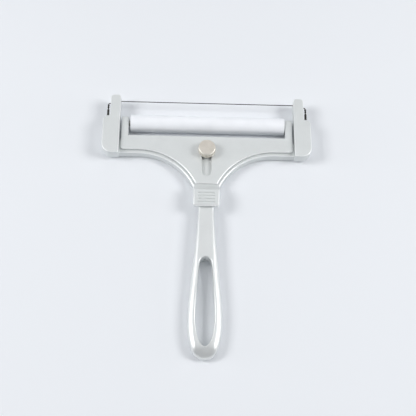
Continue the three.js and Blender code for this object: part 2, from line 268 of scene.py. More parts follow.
class Solid:
    """A closed mesh under construction, in millimetres."""

    def __init__(self) -> None:
        """Starts an empty mesh."""
        self.mesh = bmesh.new()

    def wall(self, low: Ring, high: Ring) -> None:
        """Joins two rings with a band of faces.

        Args:
            low: The first ring.
            high: The second ring, with as many vertices. Either may be a tip of one vertex.
        """
        count = max(len(low), len(high))
        for i in range(count):
            j = (i + 1) % count
            pairs = ((low, i), (low, j), (high, j), (high, i))
            corners = dict.fromkeys(ring[k % len(ring)] for ring, k in pairs)
            self.mesh.faces.new(list(corners))

    def walls(self, lines: Sequence[Sequence[Sequence[float]]]) -> list[Ring]:
        """Joins rows of points with bands of faces.

        Args:
            lines: The rows, in order.

        Returns:
            Their rings of vertices.
        """
        rings = [[self.mesh.verts.new(p) for p in line] for line in lines]
        for low, high in zip(rings, rings[1:]):
            self.wall(low, high)
        return rings

    def skin(self, lines: Sequence[Sequence[Sequence[float]]], closed: bool = False) -> None:
        """Covers rows of points and closes both ends.

        Args:
            lines: The rows, in order.
            closed: Whether the last row joins the first instead.
        """
        rings = self.walls(lines)
        if closed:
            self.wall(rings[-1], rings[0])
            return
        for end in (rings[0], rings[-1]):
            if len(end) > 1:
                self.mesh.faces.new(end)

    def fill(self, rings: Sequence[Ring]) -> None:
        """Fills the flat face between an outer ring and the rings of its holes."""
        if len(rings) == 1:
            self.mesh.faces.new(rings[0])
            return
        pairs = [(ring[i - 1], ring[i]) for ring in rings for i in range(len(ring))]
        edges = [self.mesh.edges.get(pair) for pair in pairs]
        bmesh.ops.triangle_fill(self.mesh, edges=edges, use_beauty=True)

    def done(self) -> Mesh:
        """Turns the faces outwards.

        Returns:
            The finished mesh.
        """
        bmesh.ops.recalc_face_normals(self.mesh, faces=self.mesh.faces)
        data = bpy.data.meshes.new("solid")
        self.mesh.to_mesh(data)
        self.mesh.free()
        return data


def transformed(data: Mesh, *changes: Matrix) -> Mesh:
    """Turns or moves a piece by each change in order.

    Args:
        data: The piece.
        changes: The changes.

    Returns:
        The piece.
    """
    for change in changes:
        data.transform(change)
    return data


def slab(
    outline: Outline,
    low: float,
    high: float,
    under: Edge,
    over: Edge,
    holes: Sequence[Outline] = (),
    hole_edge: Edge = CRISP,
) -> Mesh:
    """Makes a flat piece with rounded edges.

    Args:
        outline: Its outline.
        low: The level of its lower face.
        high: The level of its upper face.
        under: The rounding round its lower face.
        over: The rounding round its upper face.
        holes: The outlines of its holes, with the metal on their left.
        hole_edge: The rounding at both ends of the holes.

    Returns:
        The piece.
    """
    solid = Solid()
    bottoms, tops = [], []
    for line, foot, head in [(outline, under, over), *((h, hole_edge, hole_edge) for h in holes)]:
        stations = [(inset, low + rise) for inset, rise in foot.stations()]
        stations += [(inset, high - rise) for inset, rise in reversed(head.stations())]
        rings = solid.walls([[(x, y, z) for x, y in line.ring(inset)] for inset, z in stations])
        bottoms.append(rings[0])
        tops.append(rings[-1])
    solid.fill(bottoms)
    solid.fill(tops)
    return solid.done()


def side_slab(outline: Outline, low_x: float, high_x: float, edge: Edge) -> Mesh:
    """Makes a piece from its side view in (y, z), from one place along X to another."""
    sideways = Matrix(((0, 0, 1, 0), (1, 0, 0, 0), (0, 1, 0, 0), (0, 0, 0, 1)))
    return transformed(slab(outline, low_x, high_x, edge, edge), sideways)


def turned(
    profile: Sequence[Point],
    sides: int = 64,
    shape: Callable[[float, float, float], float] = lambda radius, z, angle: radius,
) -> Mesh:
    """Turns a piece about +Z.

    Args:
        profile: Its (radius, z) points, from the axis to the axis, or closed on themselves.
        sides: How many flats it has round it.
        shape: What the radius becomes at (radius, z, angle).

    Returns:
        The piece.
    """
    solid = Solid()
    angles = [2 * math.pi * i / sides for i in range(sides)]
    lines = []
    for radius, z in profile:
        spots = [(shape(radius, z, a), a) for a in angles] if radius else [(0.0, 0.0)]
        lines.append([(r * math.cos(a), r * math.sin(a), z) for r, a in spots])
    solid.skin(lines, closed=profile[0][0] > 0)
    return solid.done()


def rod(radius: float, low: float, high: float, edge: float, sides: int = 48) -> Mesh:
    """Makes a round rod along +Z, from low to high, with rounded ends."""
    side = [(radius - inset, z) for inset, z in Edge(edge, edge, 4).profile(low, high)]
    return turned([(0, low), *side, (0, high)], sides)


def collar_ring(
    outer: float, inner: float, low: float, high: float, edge: float, sides: int = 64
) -> Mesh:
    """Makes a ring along +Z.

    Args:
        outer: Its outer radius.
        inner: Its inner radius.
        low: Where it starts.
        high: Where it ends.
        edge: The rounding of its four edges.
        sides: How many flats it has round it.

    Returns:
        The ring.
    """
    wall = Edge(edge, edge, 4).profile(low, high)
    outside = [(outer - inset, z) for inset, z in wall]
    return turned(outside + [(inner + inset, z) for inset, z in reversed(wall)], sides)


def hexagon(half: float, low: float, high: float) -> Mesh:
    """Makes a hexagonal prism along +Z with two flats facing along X, each half from the axis."""
    edge = half / math.cos(math.pi / 6)
    prism = turned([(0, low), (edge, low), (edge, high), (0, high)], 6)
    return transformed(prism, Matrix.Rotation(math.pi / 6, 4, "Z"))


def upright(
    half: float, low: float, high: float, foot: float, head: float, steps: int = 6
) -> CornerOutline:
    """Returns a rectangle about the middle plane, with its corner radii at its foot and head."""
    corners = ((-half, low, foot), (half, low, foot), (half, high, head), (-half, high, head))
    return CornerOutline(corners, steps)


def swept(path: Sequence[Vector], radius: float, sides: int) -> Mesh:
    """Makes a round wire along a path.

    Args:
        path: The points of its middle line.
        radius: Its radius.
        sides: How many flats it has round it.

    Returns:
        The wire.
    """
    solid = Solid()
    angles = [2 * math.pi * k / sides for k in range(sides)]
    lines = []
    across = Vector((0, 0, 1))
    for i, spot in enumerate(path):
        ahead = (path[min(i + 1, len(path) - 1)] - path[max(i - 1, 0)]).normalized()
        across = (across - ahead * across.dot(ahead)).normalized()
        other = ahead.cross(across)
        offsets = (across * math.cos(a) + other * math.sin(a) for a in angles)
        lines.append([spot + offset * radius for offset in offsets])
    solid.skin(lines)
    return solid.done()


class Along(Enum):
    """Which way a piece that was made along +Z lies."""

    X = (QUARTER, "Y")
    Y = (-QUARTER, "X")
    Z = (0.0, "Z")


def placed(data: Mesh, x: float, y: float, z: float, along: Along = Along.Z) -> Mesh:
    """Turns a piece made along +Z and then moves it."""
    turn = Matrix.Rotation(along.value[0], 4, along.value[1])
    return transformed(data, turn, Matrix.Translation((x, y, z)))


def linked(name: str, data: bpy.types.ID) -> bpy.types.Object:
    """Adds an object to the scene.

    Args:
        name: Its name.
        data: What it shows.

    Returns:
        The object.
    """
    thing = bpy.data.objects.new(name, data)
    bpy.context.scene.collection.objects.link(thing)
    return thing


class Operation(Enum):
    """How one solid changes another."""

    JOIN = "UNION"
    CUT = "DIFFERENCE"
    TRIM = "INTERSECT"


def combine(base: Mesh, steps: Sequence[tuple[Operation, Mesh]]) -> Mesh:
    """Changes a solid by others, in order.

    Args:
        base: The solid to start from.
        steps: What is done, and with which solid.

    Returns:
        The new solid.
    """
    things = [linked("work", data) for data in (base, *(tool for _, tool in steps))]
    for (operation, _), tool in zip(steps, things[1:]):
        change = things[0].modifiers.new("change", "BOOLEAN")
        change.operation = operation.value
        change.solver = "MANIFOLD"
        change.object = tool
    graph = bpy.context.evaluated_depsgraph_get()
    result = bpy.data.meshes.new_from_object(things[0].evaluated_get(graph))
    for thing in things:
        data = thing.data
        bpy.data.objects.remove(thing)
        bpy.data.meshes.remove(data)
    return result


class Slot(Enum):
    """The finishes that the record names."""

    CAST = "cast_metal"
    GRIP = "grip_metal"
    WHITE = "white_plastic"
    BUSH = "bush_plastic"
    STEEL = "steel"
    WIRE = "wire_steel"
    NICKEL = "nickel"


class Body(Enum):
    """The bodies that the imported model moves."""

    MAIN = "body"
    CARRIER = "carrier"
    ROLLER = "roller"
    CLAMP = "clamp"
    SCREW = "thumbscrew"


class Canvas:
    """A node tree, with short ways to add what the finishes use."""

    def __init__(self, owner: bpy.types.Material | bpy.types.World, place: str, end: str) -> None:
        """Starts a node tree.

        Args:
            owner: The material or the surround that it belongs to.
            place: Which coordinates its patterns are read at.
            end: The node that everything leads to.
        """
        owner.use_nodes = True
        self.tree = owner.node_tree
        self.end = self.tree.nodes[end]
        self.place = self.add("ShaderNodeTexCoord").outputs[place]

    def feed(self, socket: Socket, value: object) -> None:
        """Gives a socket a link, a colour or a plain value.

        Args:
            socket: The socket.
            value: What it gets.
        """
        if isinstance(value, Socket):
            self.tree.links.new(value, socket)
        else:
            socket.default_value = (*value, 1) if socket.type == "RGBA" else value

    def add(self, kind: str, *values: object, **named: object) -> bpy.types.Node:
        """Adds a node.

        Args:
            kind: Its type.
            values: What its first sockets get, in order.
            named: Its settings in lower case, and what its other sockets get, with _ for a space.

        Returns:
            The node.
        """
        node = self.tree.nodes.new(kind)
        for name in filter(str.islower, named):
            setattr(node, name, named[name])
        for socket, value in zip(node.inputs, values):
            self.feed(socket, value)
        for name in (name for name in named if not name.islower()):
            self.feed(node.inputs[name.replace("_", " ")], named[name])
        return node

    def mapped(self, place: Socket, **settings: Triple) -> Socket:
        """Returns a place moved or scaled."""
        return self.add("ShaderNodeMapping", Vector=place, **settings).outputs["Vector"]

    def noise(
        self, scale: float, detail: float = 2.0, rough: float = 0.5, place: Socket | None = None
    ) -> Socket:
        """Returns a cloudy pattern, of about scale features in a metre and finer layers."""
        settings = {"Scale": scale, "Detail": detail, "Roughness": rough}
        where = place or self.place
        return self.add("ShaderNodeTexNoise", Vector=where, **settings).outputs["Fac"]

    def spread(self, value: Socket, low: float, high: float, start: float, end: float) -> Socket:
        """Returns a value mapped so that low becomes start and high becomes end, held there."""
        ranges = {"From_Min": low, "From_Max": high, "To_Min": start, "To_Max": end}
        return self.add("ShaderNodeMapRange", Value=value, **ranges).outputs["Result"]

    def mixed(self, share: Socket, first: object, second: object) -> Socket:
        """Mixes two colours.

        Args:
            share: How much of the second there is.
            first: The first colour, or a link to one.
            second: The second colour, or a link to one.

        Returns:
            The mixed colour.
        """
        node = self.add("ShaderNodeMix", data_type="RGBA")
        for socket, value in ((0, share), (6, first), (7, second)):
            self.feed(node.inputs[socket], value)
        return node.outputs[2]

    def math(self, kind: str, first: object, second: object) -> Socket:
        """Returns two values or links combined."""
        return self.add("ShaderNodeMath", first, second, operation=kind).outputs[0]

    def bump(self, height: Socket, depth: float, **under: Socket) -> Socket:
        """Returns the normal of a relief this deep, in metres, over an optional coarser one."""
        node = self.add("ShaderNodeBump", Height=height, Distance=depth, Strength=1.0, **under)
        return node.outputs["Normal"]

    def edge_highlight_mask(self) -> Socket:
        """Masks the painted highlight: the roundings of upper edges, other than those that face
        the wire.

        Returns:
            How much painted highlight a spot gets, from 0 to 1.
        """
        # The painted highlight follows which way a surface faces: upper edge roundings get it,
        # faces turned towards the wire, such as the cap's ramp, get none.
        facing = self.add("ShaderNodeNewGeometry").outputs["Normal"]
        axes = self.add("ShaderNodeSeparateXYZ", facing).outputs
        over_wall = self.spread(axes["Z"], 0.06, 0.25, 0.0, 1.0)
        under_face = self.spread(axes["Z"], 0.9, 0.96, 1.0, 0.0)
        off_ramp = self.spread(axes["Y"], 0.3, 0.45, 1.0, 0.0)
        return self.math("MULTIPLY", self.math("MULTIPLY", over_wall, under_face), off_ramp)

    def paint(self, **named: object) -> None:
        """Sets the last node's sockets, with _ for a space in a name."""
        for name, value in named.items():
            self.feed(self.end.inputs[name.replace("_", " ")], value)


@dataclass(frozen=True)
class Finish:
    """What every finish has.

    Attributes:
        name: The material's name.
        slot: The record's finish that it stands for; not used.
        base: Its colour.
        stain_and_highlight: Its second colour: a stain on most finishes, a painted highlight on
            the casting's upper edges.
        roughness: How matt it is.
    """

    name: str
    slot: Slot
    base: Triple
    stain_and_highlight: Triple
    roughness: float

    def material(self) -> bpy.types.Material:
        """Finds the finish's material, or makes it the first time.

        Returns:
            The material.
        """
        material = bpy.data.materials.get(self.name)
        if material is None:
            material = bpy.data.materials.new(self.name)
            self.dress(Canvas(material, "Object", "Principled BSDF"))
        return material

    def dress(self, canvas: Canvas) -> None:
        """Adds the finish's nodes."""
        raise NotImplementedError

    def varied(self, canvas: Canvas, pattern: Socket, less: float, more: float) -> Socket:
        """Returns the roughness varied by a pattern, from less under it to more over it."""
        return canvas.spread(pattern, 0.3, 0.7, self.roughness - less, self.roughness + more)


@dataclass(frozen=True)
class BlastedCasting(Finish):
    """Bead-blasted die-cast aluminium: matt, finely grained, with painted highlights on upper
    edges.

    Attributes:
        metal: How metallic it is.
        grain: How many grains there are in a metre.
        grain_depth: How deep the grain is, in metres.
        ripple_depth: How deep the casting's slow unevenness is, in metres.
        edge_highlight: How strongly the painted highlight brightens its upper edges, from 0 to 1.
        shadow: How bright the darker clouds are, as a share of the base.
        speck: How bright the specks are, as a share of the base.
        polish: How much less matt the edges under the painted highlight are.
    """

    metal: float
    grain: float
    grain_depth: float
    ripple_depth: float
    edge_highlight: float
    shadow: float = 0.955
    speck: float = 0.82
    polish: float = 0.12

    def dress(self, canvas: Canvas) -> None:
        """Adds the finish's nodes."""
        cloud = canvas.spread(canvas.noise(70, 3, 0.55), 0.3, 0.7, 0.0, 1.0)
        colour = canvas.mixed(cloud, tuple(c * self.shadow for c in self.base), self.base)
        speck = canvas.spread(canvas.noise(1600, 2, 0.6), 0.62, 0.75, 0.0, 0.35)
        colour = canvas.mixed(speck, colour, tuple(c * self.speck for c in self.base))
        # Painted highlight: the upper edge roundings are mixed towards the second colour and made
        # less matt.
        edge = canvas.math("MULTIPLY", canvas.edge_highlight_mask(), self.edge_highlight)
        colour = canvas.mixed(edge, colour, self.stain_and_highlight)
        patchy = canvas.spread(canvas.noise(240, 2), 0.35, 0.65, -0.04, 0.04)
        rough = canvas.math("ADD", patchy, self.roughness)
        rough = canvas.math("SUBTRACT", rough, canvas.math("MULTIPLY", edge, self.polish))
        ripple = canvas.bump(canvas.noise(110, 1), self.ripple_depth)
        grain = canvas.bump(canvas.noise(self.grain, 3, 0.6), self.grain_depth, Normal=ripple)
        canvas.paint(Base_Color=colour, Metallic=self.metal, Roughness=rough, Normal=grain)


@dataclass(frozen=True)
class MouldedPlastic(Finish):
    """Plastic with a soft sheen, fine rubbing marks and a faint waviness.

    Attributes:
        scratch: How many marks there are in a metre along each axis.
        scratch_depth: How deep they are, in metres.
        coat: How strong its clear sheen is.
        wave_depth: How deep the waviness is, in metres.
        glow: How much light goes through its skin.
        glow_depth: How far that light goes, in metres.
    """

    scratch: Triple
    scratch_depth: float
    coat: float
    wave_depth: float = 6e-6
    glow: float = 0.1
    glow_depth: float = 0.002

    def dress(self, canvas: Canvas) -> None:
        """Adds the finish's nodes."""
        cloud = canvas.spread(canvas.noise(90, 3), 0.35, 0.7, 0.0, 1.0)
        marks = canvas.noise(1.0, 3, 0.65, canvas.mapped(canvas.place, Scale=self.scratch))
        wave = canvas.bump(canvas.noise(130, 1), self.wave_depth)
        canvas.paint(
            Base_Color=canvas.mixed(cloud, self.base, self.stain_and_highlight),
            Roughness=self.varied(canvas, marks, 0.05, 0.08),
            Normal=canvas.bump(marks, self.scratch_depth, Normal=wave),
            Coat_Weight=self.coat,
            Coat_Roughness=0.18,
            IOR=1.49,
            Subsurface_Weight=self.glow,
            Subsurface_Scale=self.glow_depth,
            Subsurface_Radius=(1, 1, 1),
        )


@dataclass(frozen=True)
class DrawnSteel(Finish):
    """Bare steel with fine drawing lines along one axis.

    Attributes:
        lines: How many lines there are in a metre along each axis.
        line_depth: How deep they are, in metres.
    """

    lines: Triple
    line_depth: float = 2e-6

    def dress(self, canvas: Canvas) -> None:
        """Adds the finish's nodes."""
        stain = canvas.spread(canvas.noise(400, 3), 0.4, 0.7, 0.0, 0.6)
        drawn = canvas.noise(1.0, 3, 0.7, canvas.mapped(canvas.place, Scale=self.lines))
        canvas.paint(
            Base_Color=canvas.mixed(stain, self.base, self.stain_and_highlight),
            Metallic=1.0,
            Roughness=self.varied(canvas, drawn, 0.06, 0.1),
            Normal=canvas.bump(drawn, self.line_depth),
        )


@dataclass(frozen=True)
class TurnedNickel(Finish):
    """Nickel plate over a turned part: warm, circular tool marks on its end face, painted edge
    highlights.

    Attributes:
        highlight_colour: Its painted highlight colour on the upper edges.
        axis: Where its axis stands, in metres.
        marks: How many tool marks there are in a metre of radius.
        mark_depth: How deep they are, in metres.
    """

    highlight_colour: Triple
    axis: Point
    marks: float = 9000
    mark_depth: float = 5e-6

    def dress(self, canvas: Canvas) -> None:
        """Adds the finish's nodes."""
        centred = canvas.mapped(canvas.place, Location=(-self.axis[0], -self.axis[1], 0))
        flat = canvas.mapped(centred, Scale=(1, 1, 0))
        length = canvas.add("ShaderNodeVectorMath", flat, operation="LENGTH").outputs["Value"]
        radius = canvas.add("ShaderNodeCombineXYZ", length).outputs["Vector"]
        rings = canvas.noise(self.marks, 2, 0.6, radius)
        tarnish = canvas.spread(canvas.noise(260, 3), 0.4, 0.72, 0.0, 0.55)
        colour = canvas.mixed(tarnish, self.base, self.stain_and_highlight)
        # Painted highlight: the upper edge roundings are mixed towards the highlight colour.
        canvas.paint(
            Base_Color=canvas.mixed(canvas.edge_highlight_mask(), colour, self.highlight_colour),
            Metallic=0.92,
            Roughness=self.varied(canvas, rings, 0.05, 0.09),
            Normal=canvas.bump(rings, self.mark_depth),
        )


@dataclass(frozen=True)
class Extent:
    """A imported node's box, in millimetres from the collar's foot, from low to high."""

    low: Vector
    high: Vector

    @property
    def middle(self) -> Vector:
        """The box's middle."""
        return (self.low + self.high) / 2

    @property
    def size(self) -> Vector:
        """The box's sides."""
        return self.high - self.low


@dataclass(frozen=True)
class Bench:
    """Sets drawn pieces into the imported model's frame.

    Attributes:
        foot: How far the collar's foot is along +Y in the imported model, in metres.
    """

    foot: float

    # How the shading of an edge is told to follow the flat face beside it.
    FACE_STRENGTH = "__mod_weightednormals_faceweight"
    STRONG_FACE = 16384
    FLAT_FACE = 0.9999999

    def extent(self, node: str) -> Extent:
        """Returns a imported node's box."""
        low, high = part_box(node)
        shift = Vector((0, self.foot, 0))
        return Extent((low - shift) / MM, (high - shift) / MM)

    def set_down(
        self,
        name: str,
        data: Mesh,
        finish: Finish,
        body: Body,
        nodes: Sequence[str],
        sharp: float = 32.0,
    ) -> None:
        """Makes a drawn solid into a piece of the model.

        Args:
            name: The piece's name.
            data: The solid, in millimetres from the collar's foot.
            finish: What it is made of.
            body: What it moves with.
            nodes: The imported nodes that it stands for.
            sharp: The angle from which an edge is crisp, in degrees.
        """
        data.transform(Matrix.Translation((0, self.foot, 0)) @ Matrix.Scale(MM, 4))
        data.name = name
        data.materials.clear()
        data.materials.append(finish.material())
        data.shade_smooth()
        data.set_sharp_from_angle(angle=math.radians(sharp))
        piece = linked(name, data)
        strength = data.attributes.new(self.FACE_STRENGTH, "INT", "FACE")
        for face, mark in zip(data.polygons, strength.data):
            flat = max(abs(c) for c in face.normal) > self.FLAT_FACE
            mark.value = self.STRONG_FACE if flat else 0
        weighting = piece.modifiers.new("even_shading", "WEIGHTED_NORMAL")
        weighting.mode = "CORNER_ANGLE"
        weighting.keep_sharp = True
        weighting.use_face_influence = True
        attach(piece, body.value)
        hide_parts(*nodes)
        LOG.info("%s: %d faces, on %s", name, len(data.polygons), body.value)


@dataclass(frozen=True)
class Shared:
    """Sizes that more than one sub-assembly follows."""

    arm_width: float = 12.45
    tip_width: float = 7.45
    wire_drop: float = 1.75
    rim_level: float = 43.7
    throat_radius: float = 45.0
    throat_x: float = 50.5
    tang_half: float = 3.8
    fit: float = 0.1

    @property
    def throat(self) -> Point:
        """The centre of the sweep on the right."""
        return self.throat_x, self.rim_level - self.throat_radius

    @property
    def slant(self) -> float:
        """The wire's angle on its way through an arm's tip, in radians."""
        return math.atan(self.wire_drop / self.tip_width)


SHARED = Shared()
SIDES = {-1: "left", 1: "right"}


@dataclass
class Assembly:
    """What every sub-assembly has.

    Attributes:
        bench: Where its pieces are set down.
        finish: What its largest piece is made of.
    """

    bench: Bench
    finish: Finish


@dataclass
class Casting(Assembly):
    """The cast head: two arms, the crossbar, the sweep and the collar over the grip's socket."""

    arm_foot: float = 41.3
    arm_radii: Triple = (1.0, 7.0, 4.0)  # inner foot, outer foot, shoulder
    arm_height: float = 13.5
    arm_over: Edge = Edge(0.6, 0.55)
    arm_under: Edge = Edge(3.4, 8.0, 10)
    tip_root: float = 0.6
    tip_radius: float = 2.3
    shoulder_level: float = 71.75
    bar_top: float = 7.9
    bar_top_edge: float = 54.65
    bar_over: Edge = Edge(1.0, 0.9)
    bar_under: Edge = Edge(1.1, 1.3)
    stem_foot: float = 6.0
    stem_lap: float = 0.25
    cap_width: float = 18.7
    cap_underside: float = 11.2
    cap_corner: float = 1.6
    cap_edge: Edge = Edge(1.0, 0.9)
    cap_root: float = 16.2
    ramp_top: float = 12.5
    ramp_foot: float = 18.5
    ramp_foot_level: float = 10.2
    groove_count: int = 4
    groove_pitch: float = 2.34
    groove_length: float = 12.4
    groove_width: float = 1.05
    groove_depth: float = 0.75
    first_groove: float = 2.9
    socket_low: float = 3.15
    socket_high: float = 9.35
    sink: float = 0.55
    sink_depth: float = 1.0
    ejector_radius: float = 2.4
    ejector_depth: float = 0.15
    ejectors: tuple[Point, ...] = ((70.6, 50.0), (70.6, 66.0), (28.0, 47.9))

    def throat(self, lowest: float, highest: float, steps: int) -> list[Point]:
        """Draws the right side of the sweep from the stem to the rim.

        Args:
            lowest: The level that it starts from.
            highest: The level that it ends at.
            steps: How many straight pieces it has.

        Returns:
            Its points.
        """
        centre, radius = SHARED.throat, SHARED.throat_radius
        start, end = (
            math.pi - math.asin((level - centre[1]) / radius) for level in (lowest, highest)
        )
        return arc(centre, radius, start, end, steps)

    def arm(self, side: int, head: Extent) -> Mesh:
        """Makes an arm.

        Args:
            side: -1 for the left arm and 1 for the right one.
            head: The casting's box.

        Returns:
            The arm.
        """
        outer, top = head.high.x, head.high.y
        inner = outer - SHARED.arm_width
        tip = inner + SHARED.tip_width
        foot, heel, shoulder = self.arm_radii
        corners = [
            (inner, self.arm_foot, foot),
            (outer, self.arm_foot, heel),
            (outer, self.shoulder_level, shoulder),
            (tip, self.shoulder_level, self.tip_root),
            (tip, top, self.tip_radius),
            (inner, top, self.tip_radius),
        ]
        if side < 0:
            corners = [(-x, y, radius) for x, y, radius in reversed(corners)]
        outline = CornerOutline(tuple(corners), 8)
        return slab(outline, 0, self.arm_height, self.arm_under, self.arm_over)

    def bar(self, head: Extent) -> Mesh:
        """Makes the crossbar with its sweep down to the stem."""
        reach = head.high.x - SHARED.arm_width / 2
        right = self.throat(self.stem_foot, SHARED.rim_level, 48)
        right += [(reach, SHARED.rim_level), (reach, self.bar_top_edge)]
        outline = DrawnOutline((*right, *mirrored(right)))
        return slab(outline, 0, self.bar_top, self.bar_under, self.bar_over)

    def stem(self) -> Mesh:
        """Makes the stem between the crossbar and the cap."""
        drop = SHARED.throat_x - self.cap_width / 2
        tail = SHARED.throat[1] + math.sqrt(SHARED.throat_radius**2 - drop**2)
        right = self.throat(self.stem_foot, tail, 12)
        outline = DrawnOutline((*right, *mirrored(right)))
        edge = Edge(0.1, 0.1, 1)
        return slab(outline, self.bar_under.drop, self.cap_underside + self.stem_lap, edge, edge)

    def cap(self, top: float) -> Mesh:
        """Makes the cap, a wedge with rounded edges and a rounded foot."""
        half, root = self.cap_width / 2, self.bar_top - self.stem_lap
        side = (
            (0, self.cap_underside, 0.5),
            (self.stem_foot, self.cap_underside, 1.2),
            (self.cap_root, root, 0.5),
            (self.ramp_foot, root, 0.1),
            (self.ramp_foot, self.ramp_foot_level, 0.25),
            (self.ramp_top, top, 0.7),
            (0, top, 1.7),
        )
        wedge = side_slab(CornerOutline(side), -half, half, self.cap_edge)
        plan = upright(half, 0, self.ramp_foot + 1, self.cap_corner, 0)
        trim = slab(plan, 0, top + 1, CRISP, CRISP)
        return combine(wedge, [(Operation.TRIM, trim)])

    def grooves(self, top: float) -> list[Mesh]:
        """Makes the cutters of the thumb grooves, round-ended and slightly tapered."""
        cutters = []
        half, wide = self.groove_length / 2, self.groove_width / 2
        floor, mouth = Edge(0.25, 0.3, 3), Edge(0.01, 0.01, 1)
        for i in range(self.groove_count):
            level = self.first_groove + i * self.groove_pitch
            outline = upright(half, level - wide, level + wide, wide * 0.95, wide * 0.95, 5)
            cutters.append(slab(outline, top - self.groove_depth, top + 1, floor, mouth))
        return cutters

    def sockets(self) -> list[Mesh]:
        """Makes the cutters of the holes for the grip's tang, the stud, the nut and the pin."""
        gap = SHARED.fit
        grip, stud, nut, pin = (
            self.bench.extent(node)
            for node in ("handle", "screw_stud", "captive_nut", "handle_pin")
        )
        mouth = upright(SHARED.tang_half + gap, self.stem_foot - 1, grip.high.y + gap, 0, 0.6)
        screw = rod(stud.size.x / 2 + gap, -1, self.bar_top + 1, 0.02)
        pocket = hexagon(nut.size.x / 2 + gap, -1, nut.high.z + gap)
        peg = rod(pin.size.x / 2 + gap, -1, pin.high.z + 2 * gap, 0.02)
        return [
            slab(mouth, self.socket_low, self.socket_high, CRISP, CRISP),
            placed(screw, 0, stud.middle.y, 0),
            placed(pocket, 0, nut.middle.y, 0),
            placed(peg, 0, pin.middle.y, 0),
        ]

    def arm_holes(self, side: int, head: Extent) -> list[Mesh]:
        """Makes the cutters of the wire's hole, the anchor's seat and the ejector marks.

        Args:
            side: -1 for the left arm and 1 for the right one.
            head: The casting's box.

        Returns:
            The cutters.
        """
        wire = self.bench.extent("cutting_wire")
        anchor = self.bench.extent(f"wire_anchor_{SIDES[side]}")
        tip, drop, gap = SHARED.tip_width, SHARED.wire_drop, SHARED.fit
        y, z = wire.high.y - wire.size.z / 2, wire.middle.z
        inner = head.high.x - SHARED.arm_width
        hole = placed(rod(0.5, -tip, tip, 0.02, 24), 0, 0, 0, Along.X)
        hole = transformed(hole, Matrix.Rotation(-side * SHARED.slant, 4, "Z"))
        cutters = [placed(hole, side * (inner + tip / 2), y - drop / 2, z)]
        for face, level in ((inner, y), (inner + tip, y - drop)):
            sink = turned([(0, -self.sink), (self.sink_depth, 0), (0, self.sink)], 24)
            cutters.append(placed(sink, side * face, level, z, Along.X))
        seat = rod(anchor.size.x / 2 + gap, anchor.low.y - gap, anchor.high.y, 0.05)
        cutters.append(placed(seat, anchor.middle.x, 0, anchor.middle.z, Along.Y))
        for x, level in self.ejectors:
            mark = rod(self.ejector_radius, -1, self.ejector_depth, 0.02, 32)
            cutters.append(placed(mark, side * x, level, 0))
        return cutters

    def build(self) -> None:
        """Builds the casting and sets it down."""
        head = self.bench.extent("frame")
        parts = [self.arm(-1, head), self.arm(1, head), self.stem(), self.cap(head.high.z)]
        cutters = [*self.grooves(head.high.z), *self.sockets()]
        cutters += [*self.arm_holes(-1, head), *self.arm_holes(1, head)]
        steps = [(Operation.JOIN, part) for part in parts]
        steps += [(Operation.CUT, cutter) for cutter in cutters]
        data = combine(self.bar(head), steps)
        self.bench.set_down("casting", data, self.finish, Body.MAIN, ["frame"])


